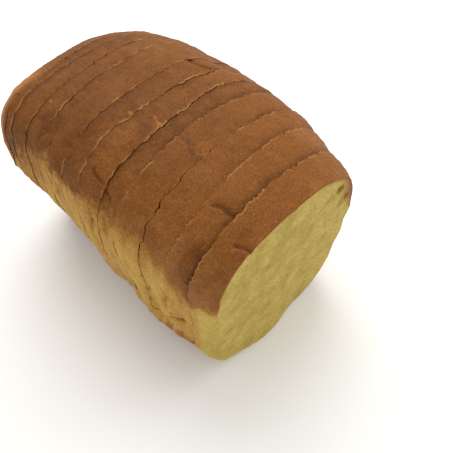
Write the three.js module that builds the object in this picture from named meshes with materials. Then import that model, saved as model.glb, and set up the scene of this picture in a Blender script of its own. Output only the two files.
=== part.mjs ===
// A sliced tin loaf standing on its base, in millimetres, +Z up.
// The slices stand one behind the other along +Y, and the cut face of the first looks along -Y.
import * as THREE from 'three'

// Driving dimensions of the whole loaf
const maxHalfWidth = 55.5    // half the width across the shoulders, before it narrows towards the ends
const frontNarrowing = 12.5  // how much less that is at the front cut
const rearNarrowing = 8.5    // and at the rear end
const crownHeight = 116      // height of the crown, before it falls towards the ends
const frontFall = 13         // how far it has fallen at the front cut
const rearFall = 17          // and at the rear end
const rearDrift = -4         // how far the middle of the rear end lies to one side
const shoulderFraction = 0.62    // height of the widest line, as a part of the crown's height
const leftRoundness = 2.9    // exponent of the left half of the crown: 2 is an ellipse, more is squarer
const rightRoundness = 2.1   // the same for the right half
const frontLeftFlare = 0.97  // half width at the base, as a part of that at the shoulder, left front
const rearLeftFlare = 0.79   // the same at the left rear
const rightFlare = 0.9       // the same all along the right
const baseCorner = 23        // radius of the long bottom edges
const cutGap = 0.4           // air between two neighbouring cut faces

// The slices from front to rear: thickness, how far each has slid sideways, how far its crown stands proud
const slices = [
  { thickness: 13, slide: -0.4, rise: 0.3 },
  { thickness: 12.5, slide: 0.3, rise: -0.1 },
  { thickness: 12.5, slide: 0.5, rise: -0.3 },
  { thickness: 12, slide: 0, rise: -0.3 },
  { thickness: 9, slide: 0.1, rise: -0.6 },
  { thickness: 12, slide: -0.6, rise: 0.3 },
  { thickness: 10.5, slide: -0.5, rise: 0.5 },
  { thickness: 11, slide: -0.4, rise: 0.6 },
  { thickness: 8, slide: -0.5, rise: 0.3 },
  { thickness: 9, slide: -0.6, rise: 0.2 },
  { thickness: 9, slide: -1.1, rise: 0.4 },
  { thickness: 7, slide: -1.4, rise: 0.4 },
]

// How far the left foot stands out, or is drawn in when negative: at the front cut, at every cut
// behind it and at the rear end
const leftFoot = [0.5, 0.5, 1.5, 2, 0, -2.5, -0.5, -0.5, -1, -1.5, -2.5, -3, -3, -3]

// The rear heel, which closes the loaf with crust
const heel = {
  thickness: 14.5,
  slide: -2.5,
  edgeRounding: 9,           // how far the end face is drawn in from the sides and the crown
  baseRounding: 5,           // how far it is drawn up from the base
  rimSteps: 5,
  bulge: 1.5,                // how far the middle of the end face stands out past its rim
}

// How finely the curves are stepped
const cornerSteps = 4
const wallSteps = 4
const crownSteps = 10

const cutsLength = slices.reduce((sum, slice) => sum + slice.thickness, 0)
const loafLength = cutsLength + heel.thickness
const thicknesses = slices.map((slice) => slice.thickness).concat(heel.thickness)

// The left foot's stand-out at y, in a straight line from one cut to the next
function footAt(y) {
  let k = 0
  let start = 0
  while (k < thicknesses.length - 1 && y > start + thicknesses[k]) {
    start += thicknesses[k]
    k += 1
  }
  const share = (y - start) / thicknesses[k]
  return leftFoot[k] + (leftFoot[k + 1] - leftFoot[k]) * share
}

// The loaf's section at a distance y behind the front cut. Its height and width fall away
// towards each end as the cube of the distance from the other end.
function sizeAt(y) {
  const along = y / loafLength
  const toFront = (1 - along) ** 3
  const toRear = along ** 3
  return {
    height: crownHeight - frontFall * toFront - rearFall * toRear,
    halfWidth: maxHalfWidth - frontNarrowing * toFront - rearNarrowing * toRear,
    leftFlare: frontLeftFlare + (rearLeftFlare - frontLeftFlare) * along,
    centre: rearDrift * along ** 2,
    leftFoot: footAt(y),
  }
}

// One quarter of the crown from the shoulder (0) to the top (PI / 2), a superellipse:
// x = a cos(t)^(2/n), z = b sin(t)^(2/n)
function crownPoint(angle, a, b, exponent) {
  const x = a * Math.max(Math.cos(angle), 0) ** (2 / exponent)
  const z = b * Math.sin(angle) ** (2 / exponent)
  return [x, z]
}

// Right or left half of the outline, from the base up to the top of the crown: a quarter circle,
// a wall that swells out as 3u^2 - 2u^3 of its height u, and a quarter of the crown.
// side is 1 or -1, foot moves the base out, inset draws the outline in all round and lift draws it
// up from the base.
function halfOutline(size, side, flare, exponent, foot, inset, lift) {
  const points = []
  const base = size.halfWidth * flare + foot - inset
  const widest = size.halfWidth - inset
  const wallFoot = lift + baseCorner
  const shoulder = size.height * shoulderFraction
  for (let i = 0; i <= cornerSteps; i++) {
    const angle = (i / cornerSteps) * Math.PI / 2
    const x = base - baseCorner * (1 - Math.sin(angle))
    const z = wallFoot - baseCorner * Math.cos(angle)
    points.push([side * x, z])
  }
  for (let i = 1; i < wallSteps; i++) {
    const u = i / wallSteps
    const x = base + (widest - base) * (3 * u * u - 2 * u ** 3)
    points.push([side * x, wallFoot + (shoulder - wallFoot) * u])
  }
  for (let i = 0; i <= crownSteps; i++) {
    const angle = (i / crownSteps) * Math.PI / 2
    const [x, z] = crownPoint(angle, widest, size.height - inset - shoulder, exponent)
    points.push([side * x, shoulder + z])
  }
  return points
}

// The whole outline at y, anticlockwise when looked at from the front.
function outline(y, rise = 0, inset = 0, lift = 0) {
  const size = sizeAt(y)
  size.height += rise
  const right = halfOutline(size, 1, rightFlare, rightRoundness, 0, inset, lift)
  const left = halfOutline(size, -1, size.leftFlare, leftRoundness, size.leftFoot, inset, lift)
  left.pop()
  return right.concat(left.reverse()).map(([x, z]) => [size.centre + x, z])
}

// A closed body through rings of points from front to rear, each { y, points },
// with a fan of triangles closing each end. bulge pushes the middle of the rear fan out.
function loft(rings, bulge = 0) {
  const count = rings[0].points.length
  const vertices = []
  const triangles = []
  for (const ring of rings) {
    for (const [x, z] of ring.points) {
      vertices.push(x, ring.y, z)
    }
  }
  for (let j = 0; j < rings.length - 1; j++) {
    for (let i = 0; i < count; i++) {
      const a = j * count + i
      const b = j * count + (i + 1) % count
      triangles.push(a, a + count, b, b, a + count, b + count)
    }
  }
  const closeEnd = (ring, start, facesFront, out) => {
    const middleX = ring.points.reduce((sum, point) => sum + point[0], 0) / count
    const middleZ = ring.points.reduce((sum, point) => sum + point[1], 0) / count
    const centre = vertices.length / 3
    vertices.push(middleX, ring.y + out, middleZ)
    for (let i = 0; i < count; i++) {
      const a = start + i
      const b = start + (i + 1) % count
      triangles.push(centre, facesFront ? a : b, facesFront ? b : a)
    }
  }
  closeEnd(rings[0], 0, true, 0)
  closeEnd(rings.at(-1), (rings.length - 1) * count, false, bulge)
  const geometry = new THREE.BufferGeometry()
  geometry.setAttribute('position', new THREE.Float32BufferAttribute(vertices, 3))
  geometry.setIndex(triangles)
  geometry.computeVertexNormals()
  return geometry
}

const crust = new THREE.MeshStandardMaterial({ color: 0x96592f, roughness: 0.75, metalness: 0 })

// A slice between two cuts: the loaf's outline just behind the front cut, halfway and just before the rear one.
function makeSlice(number, slice, start) {
  const half = (slice.thickness - cutGap) / 2
  const middle = start + slice.thickness / 2
  const rings = [-half, 0, half].map((y) => ({ y, points: outline(middle + y, slice.rise) }))
  const mesh = new THREE.Mesh(loft(rings), crust.clone())
  mesh.name = `slice_${String(number).padStart(2, '0')}`
  mesh.position.set(slice.slide, middle, 0)
  return mesh
}

// The heel: from the last cut the outline is drawn in along a quarter circle to the end face.
function makeHeel() {
  const rings = []
  for (let j = 0; j <= heel.rimSteps; j++) {
    const angle = (j / heel.rimSteps) * Math.PI / 2
    const drawnIn = 1 - Math.cos(angle)
    const y = cutGap / 2 + (heel.thickness - heel.bulge - cutGap / 2) * Math.sin(angle)
    const points = outline(cutsLength + y, 0, heel.edgeRounding * drawnIn, heel.baseRounding * drawnIn)
    rings.push({ y, points })
  }
  const mesh = new THREE.Mesh(loft(rings, heel.bulge), crust.clone())
  mesh.name = 'rear_heel'
  mesh.position.set(heel.slide, cutsLength, 0)
  return mesh
}

const group = new THREE.Group()
group.name = 'tin_loaf'
let start = 0
slices.forEach((slice, index) => {
  group.add(makeSlice(index + 1, slice, start))
  start += slice.thickness
})
group.add(makeHeel())

// The origin is the middle of the box around the loaf, on the surface that it stands on.
const box = new THREE.Box3().setFromObject(group)
const middle = box.getCenter(new THREE.Vector3())
group.position.set(-middle.x, -middle.y, -box.min.z)

export default group
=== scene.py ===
import math
import bpy
import numpy as np
from mathutils import Matrix, Vector


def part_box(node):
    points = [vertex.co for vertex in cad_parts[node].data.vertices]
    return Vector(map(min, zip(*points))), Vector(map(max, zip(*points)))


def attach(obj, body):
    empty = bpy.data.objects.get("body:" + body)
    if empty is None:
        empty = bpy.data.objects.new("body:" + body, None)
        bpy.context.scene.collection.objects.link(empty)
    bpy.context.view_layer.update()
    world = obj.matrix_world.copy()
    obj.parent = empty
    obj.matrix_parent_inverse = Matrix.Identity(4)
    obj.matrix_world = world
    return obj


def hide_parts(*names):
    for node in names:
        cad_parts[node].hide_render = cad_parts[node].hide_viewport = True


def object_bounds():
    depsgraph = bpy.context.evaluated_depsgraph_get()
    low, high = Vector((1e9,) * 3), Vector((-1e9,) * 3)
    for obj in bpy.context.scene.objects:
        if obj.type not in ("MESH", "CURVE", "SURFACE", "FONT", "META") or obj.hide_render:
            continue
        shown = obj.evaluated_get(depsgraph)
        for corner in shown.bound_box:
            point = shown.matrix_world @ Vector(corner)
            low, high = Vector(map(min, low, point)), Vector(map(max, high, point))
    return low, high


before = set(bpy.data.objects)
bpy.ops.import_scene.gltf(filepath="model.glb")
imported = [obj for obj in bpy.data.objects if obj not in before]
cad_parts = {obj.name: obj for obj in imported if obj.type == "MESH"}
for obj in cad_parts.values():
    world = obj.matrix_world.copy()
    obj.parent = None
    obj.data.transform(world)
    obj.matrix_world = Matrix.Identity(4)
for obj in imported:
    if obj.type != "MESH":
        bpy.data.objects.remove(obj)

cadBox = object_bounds()
mm = 0.001

# camera, light and floor
view = {
    "azimuth": -46.2,       # degrees, 0 looks along +Y
    "elevation": 57.1,
    "roll": 1.5,
    "distance": 0.2526,     # metres from the target
    "target": (-0.0042, -0.0381, 0.060),
    "lens": 44.5,
}


def placeCamera(view):
    # the camera sits on a sphere round the target, turned about its own line of sight by the roll
    az, el, roll = (math.radians(view[key]) for key in ("azimuth", "elevation", "roll"))
    back = Vector((math.sin(az) * math.cos(el), -math.cos(az) * math.cos(el), math.sin(el)))
    right = Vector((math.cos(az), math.sin(az), 0))
    up = back.cross(right)
    right, up = (math.cos(roll) * right + math.sin(roll) * up,
                 math.cos(roll) * up - math.sin(roll) * right)
    data = bpy.data.cameras.new("viewCamera")
    data.lens = view["lens"]
    data.sensor_width = 36
    data.clip_start = 0.01
    camera = bpy.data.objects.new("viewCamera", data)
    turn = Matrix((right, up, back)).transposed().to_4x4()
    camera.matrix_world = Matrix.Translation(Vector(view["target"]) + back * view["distance"]) @ turn
    bpy.context.collection.objects.link(camera)
    bpy.context.scene.camera = camera


placeCamera(view)
print("camera placed")

studio = {
    "skyStrength": 0.86,
    "skyColour": (1.0, 0.985, 0.96, 1),
    "lamps": [
        # name, place, size, power
        ("topLamp", (0.25, 0.35, 0.75), 0.7, 5.0),
        ("sideLamp", (0.75, -0.25, 0.45), 0.6, 1.5),
    ],
    "floorColour": (0.86, 0.86, 0.85, 1),
}


def buildStudio(studio):
    # an even sky, round soft lamps aimed at the middle of the loaf, and a wide floor just under it
    world = bpy.data.worlds.new("studioSky")
    world.use_nodes = True
    sky = world.node_tree.nodes["Background"]
    sky.inputs["Color"].default_value = studio["skyColour"]
    sky.inputs["Strength"].default_value = studio["skyStrength"]
    bpy.context.scene.world = world
    middle = (cadBox[0] + cadBox[1]) / 2
    for name, place, size, power in studio["lamps"]:
        data = bpy.data.lights.new(name, "AREA")
        data.shape = "DISK"
        data.size = size
        data.energy = power
        lamp = bpy.data.objects.new(name, data)
        aim = (middle - Vector(place)).to_track_quat("-Z", "Y")
        lamp.matrix_world = Matrix.Translation(place) @ aim.to_matrix().to_4x4()
        bpy.context.collection.objects.link(lamp)
    reach = 3.0
    mesh = bpy.data.meshes.new("floor")
    corners = [(-reach, -reach, 0), (reach, -reach, 0), (reach, reach, 0), (-reach, reach, 0)]
    mesh.from_pydata(corners, [], [(0, 1, 2, 3)])
    floor = bpy.data.objects.new("floor", mesh)
    floor.location.z = -0.0002
    material = bpy.data.materials.new("floorPaint")
    material.use_nodes = True
    shader = material.node_tree.nodes["Principled BSDF"]
    shader.inputs["Base Color"].default_value = studio["floorColour"]
    shader.inputs["Roughness"].default_value = 0.9
    mesh.materials.append(material)
    bpy.context.collection.objects.link(floor)
    settings = bpy.context.scene.view_settings
    settings.view_transform = "Standard"
    settings.look = "None"


buildStudio(studio)
print("studio built")


# noise over points in millimetres
def gridNoise(points, seed):
    # random values on the corners of unit cubes, blended inside each cube by 3u^2 - 2u^3
    rng = np.random.default_rng(seed)
    order = rng.permutation(256)
    values = rng.uniform(-1, 1, 256)
    cell = np.floor(points).astype(np.int64)
    part = points - cell
    part = part * part * (3 - 2 * part)
    total = np.zeros(points.shape[:-1])
    for dx in (0, 1):
        for dy in (0, 1):
            for dz in (0, 1):
                x = order[(cell[..., 0] + dx) & 255]
                y = order[(x + cell[..., 1] + dy) & 255]
                z = order[(y + cell[..., 2] + dz) & 255]
                weight = np.abs(1 - dx - part[..., 0]) * np.abs(1 - dy - part[..., 1])
                total += values[z] * weight * np.abs(1 - dz - part[..., 2])
    return total


def cloudNoise(points, size, octaves, seed):
    # layers of grid noise, each half the size and half the height of the one before
    total = np.zeros(points.shape[:-1])
    for octave in range(octaves):
        scale = 2 ** octave
        total += gridNoise(points * (scale / np.array(size)) + 17.3 * octave, seed + octave) / scale
    return total / (2 - 0.5 ** (octaves - 1))


def easeStep(value, low, high):
    # 0 below low, 1 above high, and 3u^2 - 2u^3 between them
    u = np.clip((value - low) / (high - low), 0, 1)
    return u * u * (3 - 2 * u)


# the loaf's section, the same as the CAD model's, in millimetres
loaf = {
    "halfWidth": 55.5,
    "frontNarrowing": 12.5,
    "rearNarrowing": 8.5,
    "crown": 116.0,
    "frontFall": 13.0,
    "rearFall": 17.0,
    "rearDrift": -4.0,
    "shoulder": 0.62,        # height of the widest line, as a part of the crown's
    "leftRoundness": 2.9,
    "rightRoundness": 2.1,
    "frontLeftFlare": 0.97,
    "rearLeftFlare": 0.79,
    "rightFlare": 0.9,
    "baseCorner": 23.0,
    # how far the left foot stands out, at the front, at each cut and at the rear
    "leftFoot": [0.5, 0.5, 1.5, 2, 0, -2.5, -0.5, -0.5, -1, -1.5, -2.5, -3, -3, -3],
}
halfGap = 0.2                # half of the CAD model's air between two slices
sliceNames = sorted(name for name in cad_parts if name.startswith("slice_"))
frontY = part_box("slice_01")[0].y / mm - halfGap
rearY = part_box("rear_heel")[1].y / mm
cutYs = [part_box(name)[0].y / mm - halfGap for name in sliceNames + ["rear_heel"]]
loafLength = rearY - frontY


def crownHeight(along):
    # the crown falls towards each end as the cube of the distance from the other end
    return loaf["crown"] - loaf["frontFall"] * (1 - along) ** 3 - loaf["rearFall"] * along ** 3


def sectionPoints(place, along, rise, inset=0.0, lift=0.0):
    # place runs 0 to 7 round the outline: corner, wall and crown on the right, the same on the left
    # from the top down, and the flat base. Corners are quarter circles, walls swell as 3u^2 - 2u^3
    # and each half of the crown is a superellipse in polar form.
    place, along = np.broadcast_arrays(place, along)
    height = crownHeight(along) + rise
    half = loaf["halfWidth"] - loaf["frontNarrowing"] * (1 - along) ** 3
    half = half - loaf["rearNarrowing"] * along ** 3
    leg = np.clip(np.floor(place), 0, 6)
    u = place - leg
    onLeft = (leg >= 3) & (leg <= 5)
    u = np.where(onLeft, 1 - u, u)
    kind = np.where(onLeft, 5 - leg, leg)      # 0 corner, 1 wall, 2 crown, 6 base
    leftFlare = loaf["frontLeftFlare"] + (loaf["rearLeftFlare"] - loaf["frontLeftFlare"]) * along
    standOut = np.interp(along * loafLength + frontY, cutYs + [rearY], loaf["leftFoot"])
    leftBase = half * leftFlare + standOut - inset
    rightBase = half * loaf["rightFlare"] - inset
    foot = np.where(onLeft, leftBase, rightBase)
    power = np.where(onLeft, loaf["leftRoundness"], loaf["rightRoundness"])
    corner = loaf["baseCorner"]
    widest = half - inset
    shoulder = height * loaf["shoulder"]
    ceiling = height - inset - shoulder
    turn = u * math.pi / 2
    reach = ((np.cos(turn) / widest) ** power + (np.sin(turn) / ceiling) ** power) ** (-1 / power)
    cases = [kind == 0, kind == 1, kind == 2]
    x = np.select(cases, [foot - corner * (1 - np.sin(turn)),
                          foot + (widest - foot) * (3 * u * u - 2 * u ** 3),
                          reach * np.cos(turn)])
    z = np.select(cases, [lift + corner * (1 - np.cos(turn)),
                          lift + corner + (shoulder - lift - corner) * u,
                          shoulder + reach * np.sin(turn)])
    x = np.where(onLeft, -x, x)
    x = np.where(leg == 6, corner - leftBase + (rightBase + leftBase - 2 * corner) * u, x)
    z = np.where(leg == 6, lift, z)
    return x + loaf["rearDrift"] * along ** 2, z


def outlinePlaces(count):
    # places spaced evenly along the outline, but four times wider apart on the base
    fine = np.linspace(0, 7, 2801)
    x, z = sectionPoints(fine, np.array(0.5), 0.0)
    middle = (fine[1:] + fine[:-1]) / 2
    weight = np.where(middle > 6, 0.25, 1.0)
    length = np.concatenate(([0], np.cumsum(np.hypot(np.diff(x), np.diff(z)) * weight)))
    return np.interp(np.arange(count) / count * length[-1], length, fine)


# how each cut shows in the crust, in mm, at places round the crown: 2 is the right shoulder, 3 the top,
# 4 the left shoulder and 5 the foot of the left wall. One row for each cut, front to rear.
cuts = {
    "places": [2.0, 2.5, 2.75, 3.0, 3.25, 3.4, 3.55, 3.7, 3.85, 4.1, 4.6],
    # how far the line of the cut strays to the rear
    "stray": [
        [0, 0, 0, 0.5, -0.3, -0.6, -0.8, -0.4, 0, 0, 0],
        [1, 1.2, 1.2, 0.8, -0.4, -1.8, -1.6, -1.4, -0.8, 0, 0],
        [0, -0.6, -0.3, 0.2, 0, -1.0, -1.3, -1.2, -1.0, -0.4, 0],
        [0, 0.5, 1.0, 2.0, 1.6, 0.8, 0, 0, 0, 0.2, 0],
        [0.5, 1.5, 1.8, 0.3, -0.4, -0.4, -0.3, -0.2, 0, 0, 0],
        [-1, -1.9, -1.2, -0.3, 0.1, 1.4, 1.2, 0.2, 0, 0, 0],
        [0, 0, 0.5, 0.2, 0.2, 0, 0, 0, 0.2, 0, 0],
        [0, 0, 0, 0, 0, 0, 0, 0, 0, 0, 0],
        [0, 0, 0.2, 0, -0.8, -1.6, -1.2, -0.5, 0, 0, 0],
        [0, 0, 0.3, 0, -0.2, -0.8, -1.0, -0.8, -1.0, -0.4, 0],
        [0, 0, 0, 0.5, 1.4, 1.0, 0, 0, 0, 0, 0],
        [0, 0, 0, 0, -0.5, -2.0, -3.0, -2.6, -1.5, 0, 0],
    ],
    # how far the slice behind stands proud of the one in front, over what its own place gives it
    "step": [
        [-1.3, -1.2, -0.6, -0.4, -0.5, -0.3, -0.4, -0.6, -0.5, 0.1, -0.3],
        [-1.1, -0.8, -0.5, -0.3, -0.2, -0.1, -0.1, 0, 0.1, 0.1, 0.1],
        [-1.9, -1.5, -0.5, -0.1, 0, 0, 0, -0.1, -0.2, -0.3, -0.4],
        [-0.5, -0.4, -0.3, -0.3, -0.2, -0.1, 0, 0, 0.1, 0.1, 0.1],
        [-0.4, -0.3, -0.4, -0.5, -0.5, -0.5, -0.5, -0.5, -0.6, -0.7, -0.6],
        [-1.5, -1.3, 0.1, 0, 0, 0, 0, 0, 0.1, 0.1, 0],
        [0.1, 0.1, 0.1, 0.1, 0.2, 0.2, 0, 0.1, 0.2, 0.2, 0.1],
        [0, 0, 0, 0, 0, 0, 0, 0, 0.1, 0.1, 0],
        [0.1, 0.2, 0.2, 0.2, 0.3, 0.3, 0.1, 0, 0, 0, 0],
        [0.1, 0.1, 0, 0, -0.1, -0.1, 0, 0, -0.2, -0.3, -0.4],
        [0.1, 0.1, 0.1, 0.1, 0.2, 0.1, 0, -0.1, -0.3, -0.4, -0.4],
        [0.3, 0.3, 0.4, 0.5, 0.2, -0.2, -0.5, -0.7, -0.8, -0.9, -1.0],
    ],
    # how far it already stands proud there by the slices' own places
    "proud": [-0.3, -0.1, 0, -0.2, 0.9, 0.3, 0.2, 0, 0, 0.3, 0.4, 0.4],
    # how far the cut gapes
    "gape": [
        [0.1, 0.1, 0.2, 0.25, 0.2, 0.3, 0.4, 0.45, 0.35, 0.1, 0.2],
        [0, 0, 0, 0.05, 0.1, 0.2, 0, 0, 0.05, 0.1, 0.15],
        [0.1, 0.15, 0, 0.1, 0.15, 0.3, 0.35, 0.35, 0.3, 0.2, 0.05],
        [0, 0, 0, 0, 0, 0, 0, 0, 0.1, 0.35, 0.25],
        [0, 0, 0.15, 0.3, 0.35, 0.3, 0.3, 0.2, 0, 0, 0],
        [0.4, 0.6, 0.4, 0.25, 0.1, 0, 0, 0.05, 0.3, 0.2, 0.1],
        [0, 0, 0, 0.05, 0.25, 0.2, 0, 0.05, 0.1, 0.1, 0.1],
        [0.1, 0.1, 0.05, 0, 0, 0, 0, 0, 0.05, 0.1, 0.1],
        [0.1, 0.2, 0.25, 0, 0.1, 0.35, 0, 0, 0, 0.1, 0.1],
        [0, 0, 0.1, 0.3, 0.1, 0.35, 0.15, 0.1, 0, 0, 0.05],
        [0, 0, 0, 0.05, 0.3, 0.15, 0.1, 0.1, 0, 0, 0.05],
        [0, 0, 0, 0, 0.1, 0.2, 0.15, 0.1, 0, 0, 0.05],
    ],
    "stepReach": 4.5,       # mm over which a proud lip sinks back
    "shadeReach": 1.6,      # mm over which the sunk side of a step gets painted shade
    "shadeTone": -1.2,      # how much darker that painted shade is
    "weave": 0.25,          # slow wandering of a cut's line
    "teeth": 0.75,          # the ragged edge that the knife leaves
    "leastGape": 0.006,     # air where a cut is closed
    "closedRound": 0.03,    # radius of the edges there
    "openRound": 0.13,      # and where it gapes
    "frontLipReach": 0.65,  # how far a torn lip's pale crust and painted highlight reach behind a cut
    "rearLipReach": 0.5,    # and in front of it
    "streakReach": 0.6,     # how far a brown streak reaches from a cut
    # how brown the broken streaks are where each cut runs down the pale left wall
    "wallBrown": [0.85, 0.85, 0.6, 0.9, 0.25, 0.5, 0.85, 0.85, 0.85, 0.85, 0.85, 0.85],
}


def cutValue(key, number, place):
    # straight lines between the values at the places listed
    return np.interp(place, cuts["places"], cuts[key][number])


def alongCut(place, lane):
    # points for the noise along a cut, which has a lane of its own: one step of place is 50 mm
    return np.stack([place * 50.0, np.full(place.shape, lane), np.zeros(place.shape)], -1)


def netStep(number, place):
    # how far the slice behind a cut stands proud in all
    return cutValue("step", number - 1, place) + cuts["proud"][number - 1]


def offBase(place):
    # 0 along the flat base, 1 from the corners up
    return easeStep(sectionPoints(place, np.array(0.5), 0.0)[1], 4.0, 22.0)


def onWall(place):
    # 1 along the left wall, 0 elsewhere
    return easeStep(place, 3.75, 4.0) * (1 - easeStep(place, 5.2, 5.6))


def streakAlongCut(place, number):
    # broken stretches along a cut
    at = alongCut(place, 19.0 * number)
    return easeStep(cloudNoise(at, 5.0, 3, 101), -0.02, 0.3)


def cutEdge(number, place):
    # the line of a cut (1 is the first behind the front face), how far it gapes there, and the
    # radius of its edges. Teeth are the ridges of a noise, 1 - 2|n|.
    at = alongCut(place, 31.0 * number)
    weave = cuts["weave"] * cloudNoise(at, 30.0, 2, 61)
    teeth = cuts["teeth"] * (0.35 - 2 * np.abs(cloudNoise(at, 1.9, 2, 67))) * (1 - 0.6 * onWall(place))
    gape = cutValue("gape", number - 1, place)
    opening = gape * np.maximum(0.35 + 2.2 * cloudNoise(at, 3.2, 3, 71), 0.0) * (1 - 0.35 * onWall(place))
    opening = opening * (1 - onWall(place) * (1 - streakAlongCut(place, number))) + cuts["leastGape"]
    ground = offBase(place)
    line = (cutValue("stray", number - 1, place) + weave + teeth) * ground
    openness = easeStep(gape, 0.0, 0.5)
    radius = cuts["closedRound"] + (cuts["openRound"] - cuts["closedRound"]) * openness
    return cutYs[number] + line, opening * (0.3 + 0.7 * ground), radius


# creases in the crust: on the crown as points (x, y) seen from above, from the front to the rear, and on
# the left wall as points (y, z). Depth, width and ledge are in mm, and the last value is how dark the
# painted shade in the groove is.
creases = [
    {"slices": (1,), "path": [(-24.0, -72.0), (-24.8, -68.5), (-26.2, -66.0), (-28.0, -62.6)],
     "depth": 0.9, "width": 0.8, "ledge": 0.7, "grooveShade": 0.9},
    {"slices": (2,), "path": [(-20.0, -59.0), (-20.3, -55.0), (-20.8, -51.4), (-23.4, -47.4)],
     "depth": 1.0, "width": 1.0, "ledge": 0.7, "grooveShade": 1.0},
    {"slices": (4,), "path": [(-14.9, -31.0), (-12.6, -26.0), (-10.4, -21.0)],
     "depth": 0.3, "width": 1.0, "ledge": 0.1, "grooveShade": 0.3},
    {"slices": (6,), "path": [(-44.6, -13.0), (-43.5, -11.0), (-43.2, -5.5), (-42.0, -1.5)],
     "depth": 0.7, "width": 0.5, "ledge": 0.4, "grooveShade": 0.8},
    {"slices": (5,), "path": [(-46.0, -17.0), (-44.6, -14.5), (-43.6, -10.0)],
     "depth": 0.6, "width": 0.5, "ledge": 0.3, "grooveShade": 0.7},
    {"slices": (7,), "path": [(25.4, 0.0), (22.0, 5.0), (20.7, 8.0), (22.3, 13.5)],
     "depth": 1.1, "width": 1.1, "ledge": 0.6, "grooveShade": 0.8},
    {"slices": (7,), "path": [(-20.6, -1.0), (-19.7, 3.5)],
     "depth": 0.5, "width": 0.8, "ledge": 0.2, "grooveShade": 0.6},
    {"slices": (10,), "path": [(-28.3, 21.0), (-28.5, 23.4), (-29.7, 28.8)],
     "depth": 0.6, "width": 0.9, "ledge": 0.3, "grooveShade": 0.6},
    {"slices": (2, 3, 4), "wall": True,
     "path": [(-54.0, 42.0), (-49.5, 38.5), (-42.5, 33.0), (-34.0, 31.0), (-24.0, 30.5)],
     "depth": 1.6, "width": 1.4, "ledge": 1.0, "grooveShade": 0.9},
    {"slices": (3, 4), "wall": True, "path": [(-33.0, 62.0), (-34.5, 54.0), (-31.0, 45.0), (-32.5, 36.0)],
     "depth": 0.5, "width": 0.8, "ledge": 0.3, "grooveShade": 0.4},
    {"slices": (2, 3), "wall": True, "path": [(-42.0, 66.0), (-44.0, 58.0), (-41.5, 48.0), (-43.0, 40.0)],
     "depth": 0.5, "width": 0.7, "ledge": 0.3, "grooveShade": 0.4},
    {"slices": (6, 7), "wall": True, "path": [(-9.0, 86.0), (-6.5, 76.0), (-9.5, 64.0), (-8.0, 52.0)],
     "depth": 0.5, "width": 0.8, "ledge": 0.3, "grooveShade": 0.4},
]
dents = [
    # x, y, z, reach, depth (below 0 is a swelling)
    (37.0, 5.0, 100, 8.5, 2.3),
    (38.0, 17.0, 99, 9.0, 1.7),
    (43.0, -38.0, 84, 8.0, -1.1),
    (42.0, -63.0, 78, 7.0, 0.5),
    (46.0, -67.0, 59, 5.0, -1.2),
    (45.5, -69.0, 50.5, 2.8, 1.6),
    (46.5, -69.0, 38, 7.5, -3.8),
    (-21.0, -56.4, 106, 2.4, 0.7),
    (-23.0, -64.5, 102, 3.2, 0.5),
    (-45.5, -52.5, 86, 4.0, 0.5),
    (-31.0, 24.0, 107, 3.0, 0.4),
]
crustSwell = {
    "lumpSize": 24.0, "lumpHeight": 0.8,
    "rippleSize": 6.0, "rippleHeight": 0.35,
    "grainSize": 2.2, "grainHeight": 0.16,
    "foldSize": (8.0, 3.6, 13.0), "foldHeight": 1.2,    # upright folds in the pale walls
    "foldSeed": 37,
    "waist": 1.6,           # how much the left wall is drawn in between the middle and the rear
    "pillow": 0.3,          # how far a slice's crust swells between its two cuts
    # how far the rear swells out, at places round the left side
    "rearPlaces": [2.9, 3.2, 3.34, 3.42, 3.5, 3.58, 3.66, 3.74, 3.82, 3.92, 4.2, 4.45, 4.8, 5.2],
    "rearSwell": [0, -0.6, 0.5, 2.0, 3.9, 4.0, 3.0, 1.6, 0.2, -0.7, -1.3, -3.0, -1.6, 0],
}


def foldNoise(points):
    # the noise of the folds, which the streaks in them follow too
    return cloudNoise(points, crustSwell["foldSize"], 3, crustSwell["foldSeed"])


def rearSwell(place, y):
    # straight lines between the values at the places listed, growing from the middle to the heel
    return np.interp(place, crustSwell["rearPlaces"], crustSwell["rearSwell"]) * easeStep(y, 32, 62)


def creaseShape(points, sliceNumber):
    # relief: depth times a bell across the nearest stretch of the path, and a ledge, which is one side
    # of the path raised and the other lowered. Both fade with distance and towards the path's ends.
    # The second result is how dark the painted shade in the groove is.
    x, y, z = points[..., 0], points[..., 1], points[..., 2]
    relief = np.zeros(x.shape)
    grooveShade = np.zeros(x.shape)
    for crease in creases:
        if sliceNumber not in crease["slices"]:
            continue
        isWall = crease.get("wall", False)
        p, q = (y, z) if isWall else (x, y)
        nearest = np.full(x.shape, 1e9)
        side = np.zeros(x.shape)
        travel = np.zeros(x.shape)
        path = np.array(crease["path"])
        lengths = np.hypot(*np.diff(path, axis=0).T)
        for start, end, gone, length in zip(path[:-1], path[1:], np.cumsum(lengths) - lengths, lengths):
            ep, eq = (end - start) / length
            along = np.clip((p - start[0]) * ep + (q - start[1]) * eq, 0, length)
            dp, dq = p - start[0] - ep * along, q - start[1] - eq * along
            away = np.hypot(dp, dq)
            closer = away < nearest
            nearest = np.where(closer, away, nearest)
            side = np.where(closer, np.sign(ep * dq - eq * dp), side)
            travel = np.where(closer, gone + along, travel)
        fade = easeStep(travel, 0.0, 2.0) * (1 - easeStep(travel, lengths.sum() - 2.5, lengths.sum()))
        fade = fade * np.where(isWall, (x < -20) & (z < 95), z > 60)
        nearest = nearest * (1 + 0.5 * cloudNoise(points, 3.0, 2, 33))
        groove = np.exp(-(nearest / crease["width"]) ** 2)
        ledge = crease["ledge"] / 2 * np.exp(-nearest / 3.0) * (1 - groove)
        relief += fade * (ledge * side - crease["depth"] * groove)
        grooveShade += fade * crease["grooveShade"] * np.exp(-(nearest / (0.8 * crease["width"])) ** 2)
    return relief, grooveShade


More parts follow.
